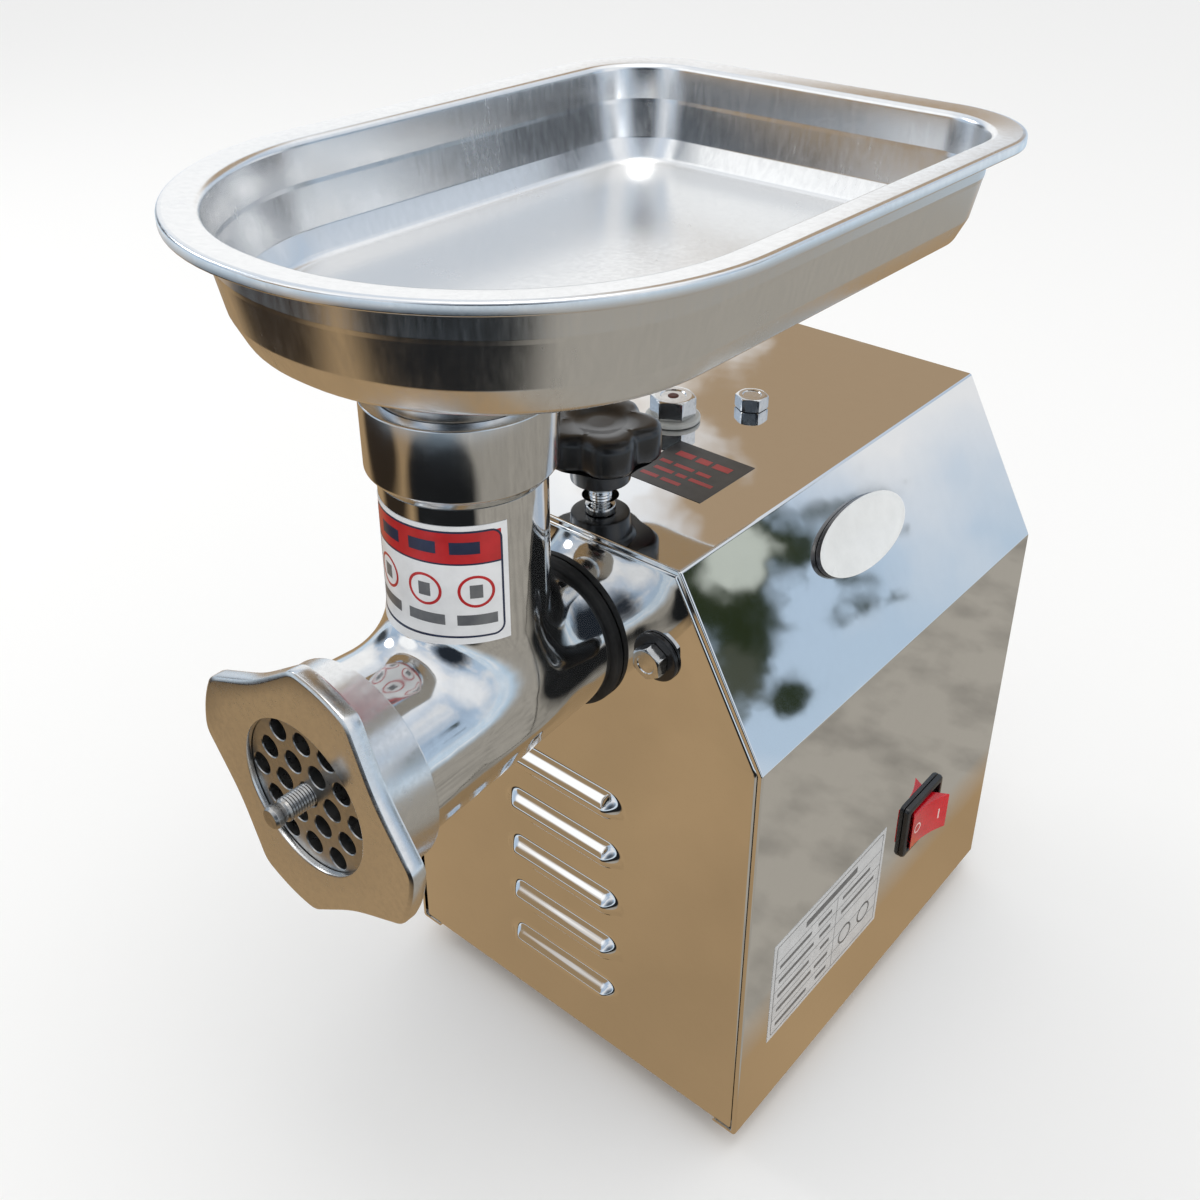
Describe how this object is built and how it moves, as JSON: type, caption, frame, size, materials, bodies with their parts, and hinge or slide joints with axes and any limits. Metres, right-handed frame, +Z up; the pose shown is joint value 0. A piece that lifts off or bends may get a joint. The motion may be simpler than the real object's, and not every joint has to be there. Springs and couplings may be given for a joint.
{
  "type": "electric meat grinder",
  "caption": "Countertop electric meat grinder: mirror-steel casing with sloped shoulders, side grinding head with lobed ring nut, feed neck and a large rounded tray.",
  "frame": {"origin": "middle of the whole machine's box, on the table under the feet", "axes": "+Z up, -Y towards the grinding head's outlet, +X towards the side with the switch"},
  "size_m": [0.231, 0.415, 0.459],
  "materials": {
    "mirror_steel": "mirror-polished stainless sheet",
    "satin_steel": "satin stainless",
    "cast_steel": "polished casting",
    "cast_alloy": "as-cast alloy",
    "gear_steel": "machined steel",
    "lamination": "stacked laminations",
    "copper": "varnished copper wire",
    "black_plastic": "gloss black moulding",
    "black_rubber": "matt black rubber",
    "red_plastic": "translucent gloss red",
    "white_plastic": "white",
    "grey_plastic": "grey"
  },
  "bodies": {
    "casing": {"badge": "white_plastic", "base_plate": "satin_steel", "breather_plug": "cast_steel", "breather_washer": "white_plastic", "capacitor": "grey_plastic", "cord_gland": "black_plastic", "counter_front_bearing": "satin_steel", "counter_rear_bearing": "satin_steel", "cover_post": "satin_steel", "foot_front_left": "black_rubber", "foot_front_right": "black_rubber", "foot_rear_left": "black_rubber", "foot_rear_right": "black_rubber", "front_bolt_left": "cast_steel", "front_bolt_right": "cast_steel", "front_panel": "mirror_steel", "front_washer_left": "black_rubber", "front_washer_right": "black_rubber", "gearbox_front": "cast_alloy", "gearbox_rear": "cast_alloy", "housing_cover": "mirror_steel", "hub_gasket": "black_rubber", "motor_bracket": "satin_steel", "motor_can": "cast_alloy", "motor_front_bearing": "satin_steel", "motor_rear_bearing": "satin_steel", "motor_rear_bell": "cast_alloy", "oil_seal": "black_rubber", "output_front_bearing": "satin_steel", "output_rear_bearing": "satin_steel", "rear_panel": "mirror_steel", "rear_screw_1": "satin_steel", "rear_screw_2": "satin_steel", "rear_screw_3": "satin_steel", "rear_screw_4": "satin_steel", "stator_core": "lamination", "switch_body": "black_plastic", "terminal_block": "grey_plastic", "top_bolt": "cast_steel", "winding_front": "copper", "winding_rear": "copper"},
    "output": {"output_shaft": "gear_steel", "output_gear": "gear_steel"},
    "counter": {"counter_shaft": "gear_steel", "counter_gear": "gear_steel"},
    "rotor": {"motor_pinion": "gear_steel", "motor_shaft": "gear_steel", "rotor_core": "lamination", "fan": "black_plastic"},
    "switch_rocker": {"rocker": "red_plastic"},
    "grinding_head": {"head": "cast_steel", "cutting_plate": "satin_steel"},
    "auger_train": {"auger": "cast_steel", "auger_stud": "gear_steel", "knife": "gear_steel"},
    "ring": {"ring_nut": "satin_steel"},
    "tray": {"tray": "satin_steel"},
    "locking_knob": {"knob": "black_plastic", "knob_stud": "gear_steel"}
  },
  "joints": [
    {"name": "output_spin", "type": "hinge", "parent": "casing", "child": "output", "pos_m": [-0.0015, 0, 0.2575], "axis": [0, 1, 0], "continuous": true},
    {"name": "counter_spin", "type": "hinge", "parent": "casing", "child": "counter", "pos_m": [-0.0015, 0.01, 0.2065], "axis": [0, 1, 0], "continuous": true},
    {"name": "motor_spin", "type": "hinge", "parent": "casing", "child": "rotor", "pos_m": [-0.0015, 0.09, 0.1645], "axis": [0, 1, 0], "continuous": true},
    {"name": "head_slide", "type": "slide", "parent": "casing", "child": "grinding_head", "axis": [0, -1, 0], "range_m": [0, 0.06]},
    {"name": "auger_spin", "type": "hinge", "parent": "grinding_head", "child": "auger_train", "pos_m": [-0.0015, -0.12, 0.2575], "axis": [0, 1, 0], "continuous": true},
    {"name": "ring_turn", "type": "hinge", "parent": "grinding_head", "child": "ring", "pos_m": [-0.0015, -0.18, 0.2575], "axis": [0, -1, 0], "range_deg": [0, 720]},
    {"name": "tray_lift", "type": "slide", "parent": "grinding_head", "child": "tray", "axis": [0, 0, 1], "range_m": [0, 0.08]},
    {"name": "knob_turn", "type": "hinge", "parent": "casing", "child": "locking_knob", "pos_m": [-0.0015, -0.026, 0.33], "axis": [0, 0, 1], "range_deg": [0, 1080]},
    {"name": "switch_rock", "type": "hinge", "parent": "casing", "child": "switch_rocker", "pos_m": [0.106, 0.106, 0.1023], "axis": [0, 0, 1], "range_deg": [0, 22]}
  ],
  "couplings": [
    {"joint": "counter_spin", "follows": "output_spin", "ratio": -3},
    {"joint": "motor_spin", "follows": "output_spin", "ratio": 9},
    {"joint": "auger_spin", "follows": "output_spin", "ratio": 1}
  ]
}
